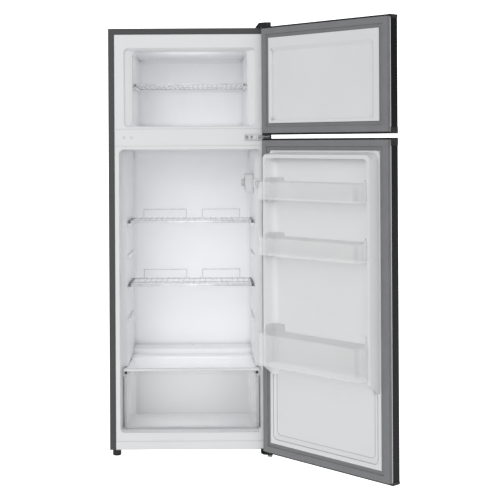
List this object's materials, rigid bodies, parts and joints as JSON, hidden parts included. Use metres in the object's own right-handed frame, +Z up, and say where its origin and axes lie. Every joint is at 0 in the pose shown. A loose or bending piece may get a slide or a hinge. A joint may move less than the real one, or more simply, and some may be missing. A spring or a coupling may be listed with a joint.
{
  "type": "top freezer refrigerator",
  "caption": "Tall upright refrigerator with a freezer compartment on top, right-hinged doors standing open, wire shelves, clear door bins and a clear crisper drawer.",
  "frame": {"origin": "on the floor under the middle of the cabinet's footprint, doors not counted", "axes": "+Z up, -Y out of the front, +X to the hinge side (the viewer's right when facing the front)"},
  "size_m": [0.9033, 0.9452, 1.4462],
  "materials": {
    "dark_steel": "satin",
    "bare_steel": "satin",
    "foam": "matte",
    "white_liner": "satin",
    "white_trim": "satin",
    "white_small": "satin",
    "black_enamel": "satin",
    "black_rubber": "matte",
    "black_plastic": "satin",
    "copper_tube": "satin",
    "grey_plastic": "matte",
    "aluminium_sheet": "satin",
    "lamp_glass": "gloss",
    "lens": "gloss",
    "zinc_steel": "satin",
    "black_steel": "satin",
    "white_wire": "gloss",
    "clear_plastic": "gloss",
    "black_skin": "gloss",
    "grey_gasket": "matte"
  },
  "bodies": {
    "cabinet": {"outer_shell": "dark_steel", "back_panel": "dark_steel", "bottom_deck": "bare_steel", "cabinet_foam": "foam", "freezer_liner": "white_liner", "fridge_liner": "white_liner", "mullion_cover": "white_trim", "mullion_plugs": "white_small", "bottom_rail": "white_trim", "base_plate": "bare_steel", "compressor": "black_enamel", "compressor_grommets": "black_rubber", "terminal_cover": "black_plastic", "refrigerant_tubes": "copper_tube", "filter_drier": "copper_tube", "drain_pan": "black_plastic", "drain_tube": "grey_plastic", "power_inlet": "black_plastic", "freezer_evaporator": "aluminium_sheet", "fridge_evaporator": "aluminium_sheet", "condenser_coil": "copper_tube", "thermostat_housing": "white_trim", "lamp_bulb": "lamp_glass", "lamp_lens": "lens", "light_switch_body": "white_trim", "top_hinge": "zinc_steel", "top_hinge_cover": "black_plastic", "middle_hinge": "zinc_steel", "bottom_hinge": "black_steel", "hinge_screws": "zinc_steel", "rear_feet": "black_plastic"},
    "freezer_door": {"freezer_door_skin": "black_skin", "freezer_door_foam": "foam", "freezer_door_liner": "white_liner", "freezer_door_gasket": "grey_gasket", "freezer_door_top_cap": "black_plastic", "freezer_door_bottom_cap": "black_plastic", "freezer_door_bushings": "white_small"},
    "fridge_door": {"fridge_door_skin": "black_skin", "fridge_door_foam": "foam", "fridge_door_liner": "white_liner", "fridge_door_gasket": "grey_gasket", "fridge_door_top_cap": "black_plastic", "fridge_door_bottom_cap": "black_plastic", "fridge_door_bushings": "white_small"},
    "top_bin": {"top_bin": "clear_plastic"},
    "middle_bin": {"middle_bin": "clear_plastic"},
    "bottom_bin": {"bottom_bin": "clear_plastic"},
    "freezer_shelf": {"freezer_shelf": "white_wire"},
    "upper_shelf": {"upper_shelf": "white_wire", "upper_shelf_rails": "white_wire"},
    "lower_shelf": {"lower_shelf": "white_wire"},
    "crisper_cover": {"crisper_cover": "clear_plastic", "crisper_cover_trim": "white_trim", "crisper_bumpers": "black_rubber"},
    "crisper_drawer": {"crisper_drawer": "clear_plastic"},
    "thermostat_knob": {"thermostat_knob": "white_small"},
    "light_switch": {"light_switch_button": "white_small"},
    "front_foot_left": {"front_foot_left": "black_plastic"},
    "front_foot_right": {"front_foot_right": "black_plastic"}
  },
  "joints": [
    {"name": "freezer_door_hinge", "type": "hinge", "parent": "cabinet", "child": "freezer_door", "pos_m": [0.261, -0.2766, 1.25], "axis": [0, 0, 1], "range_deg": [-132, 18]},
    {"name": "fridge_door_hinge", "type": "hinge", "parent": "cabinet", "child": "fridge_door", "pos_m": [0.261, -0.2766, 0.54], "axis": [0, 0, 1], "range_deg": [-132, 18]},
    {"name": "freezer_shelf_slide", "type": "slide", "parent": "cabinet", "child": "freezer_shelf", "axis": [0, -1, 0], "range_m": [0, 0.2]},
    {"name": "upper_shelf_slide", "type": "slide", "parent": "cabinet", "child": "upper_shelf", "axis": [0, -1, 0], "range_m": [0, 0.2]},
    {"name": "lower_shelf_slide", "type": "slide", "parent": "cabinet", "child": "lower_shelf", "axis": [0, -1, 0], "range_m": [0, 0.2]},
    {"name": "crisper_cover_slide", "type": "slide", "parent": "cabinet", "child": "crisper_cover", "axis": [0, -1, 0], "range_m": [0, 0.15]},
    {"name": "crisper_drawer_slide", "type": "slide", "parent": "cabinet", "child": "crisper_drawer", "axis": [0, -1, 0], "range_m": [0, 0.21]},
    {"name": "top_bin_lift", "type": "slide", "parent": "fridge_door", "child": "top_bin", "axis": [0, 0, 1], "range_m": [0, 0.03]},
    {"name": "middle_bin_lift", "type": "slide", "parent": "fridge_door", "child": "middle_bin", "axis": [0, 0, 1], "range_m": [0, 0.03]},
    {"name": "bottom_bin_lift", "type": "slide", "parent": "fridge_door", "child": "bottom_bin", "axis": [0, 0, 1], "range_m": [0, 0.03]},
    {"name": "thermostat_turn", "type": "hinge", "parent": "cabinet", "child": "thermostat_knob", "pos_m": [0.189, 0.002, 0.905], "axis": [-1, 0, 0], "range_deg": [0, 270]},
    {"name": "light_switch_press", "type": "slide", "parent": "cabinet", "child": "light_switch", "axis": [0, 1, 0], "range_m": [0, 0.004], "stiffness_N_per_m": 120, "springref_m": -0.004},
    {"name": "front_foot_left_turn", "type": "hinge", "parent": "cabinet", "child": "front_foot_left", "pos_m": [-0.2505, -0.226, 0.01], "axis": [0, 0, 1], "range_deg": [0, 350]},
    {"name": "front_foot_right_turn", "type": "hinge", "parent": "cabinet", "child": "front_foot_right", "pos_m": [0.2505, -0.226, 0.01], "axis": [0, 0, 1], "range_deg": [0, 350]}
  ]
}
